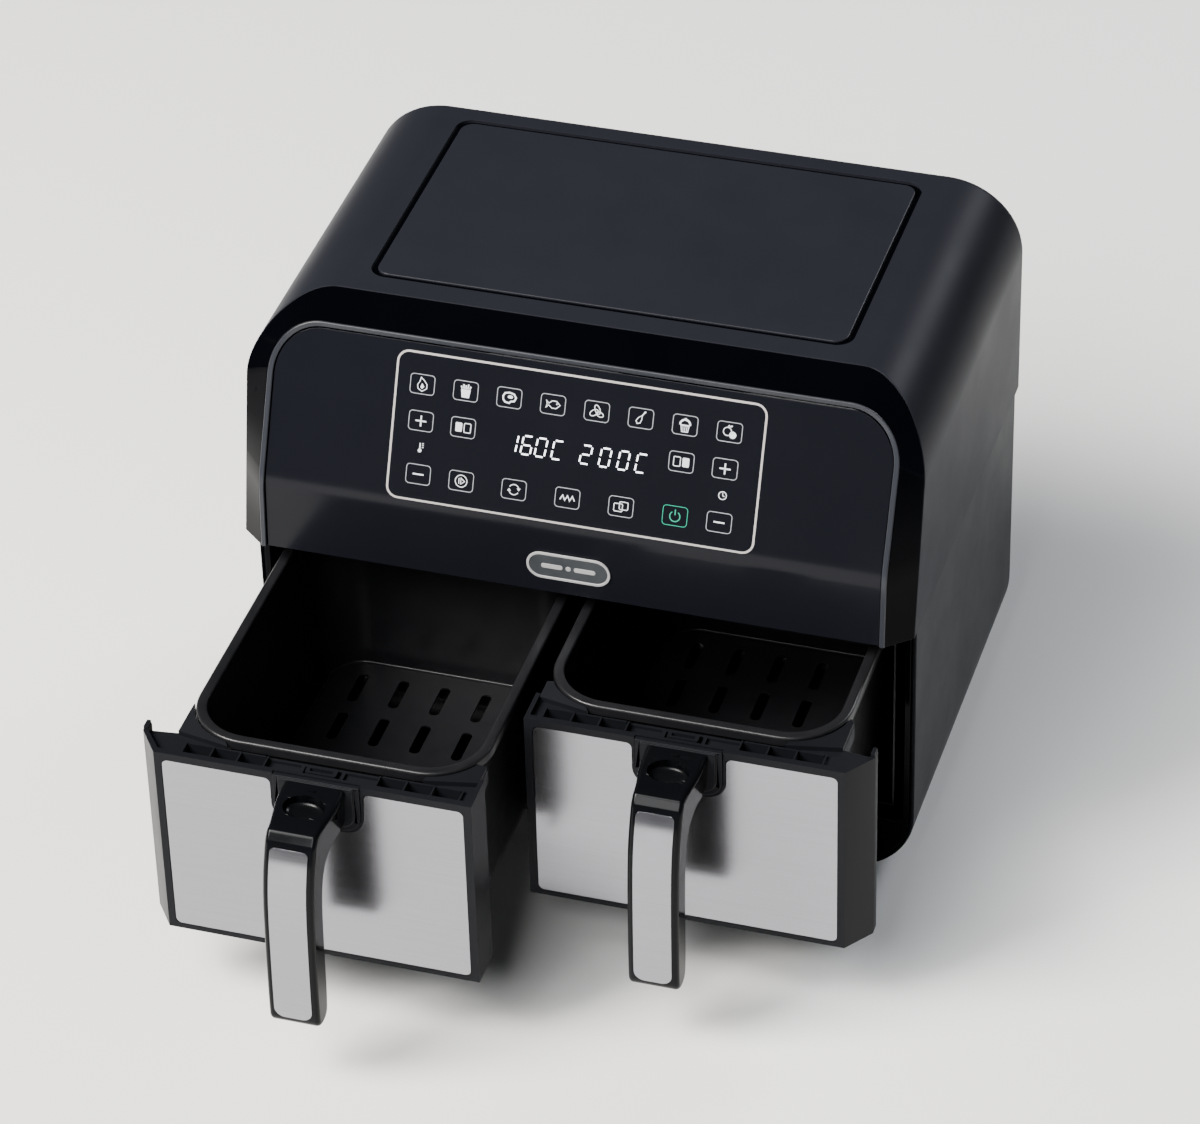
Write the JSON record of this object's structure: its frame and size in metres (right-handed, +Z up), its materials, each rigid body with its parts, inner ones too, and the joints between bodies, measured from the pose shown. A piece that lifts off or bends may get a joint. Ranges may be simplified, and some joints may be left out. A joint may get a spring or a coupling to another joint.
{
  "type": "two-drawer air fryer",
  "caption": "Countertop air fryer with two side-by-side pull-out baskets, sloped touch panel, fans and heaters above each bay, and lift-out crisper trays.",
  "frame": {"origin": "middle of the whole object's footprint at rest, on the surface it stands on", "axes": "+X to the right seen from the front, +Y from the handles to the back, +Z up"},
  "size_m": [0.39, 0.4978, 0.3254],
  "materials": {
    "shell_satin": "fine satin, moulded ABS, near-black navy",
    "lower_satin": "fine satin, moulded ABS, near-black green-grey",
    "gloss_black": "high gloss, mirror-like",
    "panel_glass": "high gloss over dark print",
    "badge_metal": "satin grey with a bright rim",
    "drawer_black": "fine satin, moulded ABS",
    "handle_gloss": "polished black",
    "steel_brushed": "horizontal brushing",
    "nonstick": "smooth non-stick coating",
    "inner_sheet": "dull aluminised sheet",
    "heater_tube": "oxidised tube",
    "motor_steel": "bare steel",
    "circuit_board": "green solder mask",
    "fan_plastic": "moulded",
    "rubber": "matt"
  },
  "bodies": {
    "housing": {"badge_plate": "badge_metal", "base_plate": "lower_satin", "bay_frame": "gloss_black", "bay_liner_left": "inner_sheet", "bay_liner_right": "inner_sheet", "control_board": "circuit_board", "control_panel": "panel_glass", "cord_gland": "rubber", "display_module": "fan_plastic", "drawer_switch_left": "fan_plastic", "drawer_switch_right": "fan_plastic", "exhaust_duct_left": "inner_sheet", "exhaust_duct_right": "inner_sheet", "fan_motor_left": "motor_steel", "fan_motor_right": "motor_steel", "foot_front_left": "rubber", "foot_front_right": "rubber", "foot_rear_left": "rubber", "foot_rear_right": "rubber", "front_bezel": "gloss_black", "heater_guard_left": "inner_sheet", "heater_guard_right": "inner_sheet", "heater_housing_left": "inner_sheet", "heater_housing_right": "inner_sheet", "heating_element_left": "heater_tube", "heating_element_right": "heater_tube", "lower_shell": "lower_satin", "mid_plate": "inner_sheet", "motor_bracket_left": "inner_sheet", "motor_bracket_right": "inner_sheet", "power_board": "circuit_board", "rear_cover": "lower_satin", "top_lid_panel": "shell_satin", "top_shell": "shell_satin"},
    "drawer_left": {"drawer_front_left": "drawer_black", "steel_plate_left": "steel_brushed", "handle_insert_left": "drawer_black", "handle_left": "handle_gloss", "handle_inlay_left": "steel_brushed", "handle_screw_left": "motor_steel", "button_spring_left": "motor_steel", "basket_left": "nonstick"},
    "crisper_left": {"crisper_tray_left": "nonstick"},
    "button_left": {"thumb_button_left": "handle_gloss"},
    "fan_left": {"hot_fan_left": "inner_sheet", "cooling_fan_left": "fan_plastic", "motor_shaft_left": "motor_steel"},
    "drawer_right": {"drawer_front_right": "drawer_black", "steel_plate_right": "steel_brushed", "handle_insert_right": "drawer_black", "handle_right": "handle_gloss", "handle_inlay_right": "steel_brushed", "handle_screw_right": "motor_steel", "button_spring_right": "motor_steel", "basket_right": "nonstick"},
    "crisper_right": {"crisper_tray_right": "nonstick"},
    "button_right": {"thumb_button_right": "handle_gloss"},
    "fan_right": {"hot_fan_right": "inner_sheet", "cooling_fan_right": "fan_plastic", "motor_shaft_right": "motor_steel"}
  },
  "joints": [
    {"name": "drawer_left_slide", "type": "slide", "parent": "housing", "child": "drawer_left", "axis": [0, -1, 0], "range_m": [-0.1713, 0.075]},
    {"name": "drawer_right_slide", "type": "slide", "parent": "housing", "child": "drawer_right", "axis": [0, -1, 0], "range_m": [-0.0911, 0.155]},
    {"name": "crisper_left_lift", "type": "slide", "parent": "drawer_left", "child": "crisper_left", "axis": [0, 0, 1], "range_m": [0, 0.06]},
    {"name": "crisper_right_lift", "type": "slide", "parent": "drawer_right", "child": "crisper_right", "axis": [0, 0, 1], "range_m": [0, 0.06]},
    {"name": "button_left_press", "type": "slide", "parent": "drawer_left", "child": "button_left", "axis": [0, 0, -1], "range_m": [0, 0.0025], "stiffness_N_per_m": 500, "springref_m": -0.004, "deforming": ["button_spring_left"]},
    {"name": "button_right_press", "type": "slide", "parent": "drawer_right", "child": "button_right", "axis": [0, 0, -1], "range_m": [0, 0.0025], "stiffness_N_per_m": 500, "springref_m": -0.004, "deforming": ["button_spring_right"]},
    {"name": "fan_left_spin", "type": "hinge", "parent": "housing", "child": "fan_left", "pos_m": [-0.09, 0.1075, 0.215], "axis": [0, 0, 1], "continuous": true},
    {"name": "fan_right_spin", "type": "hinge", "parent": "housing", "child": "fan_right", "pos_m": [0.09, 0.1075, 0.215], "axis": [0, 0, 1], "continuous": true}
  ]
}
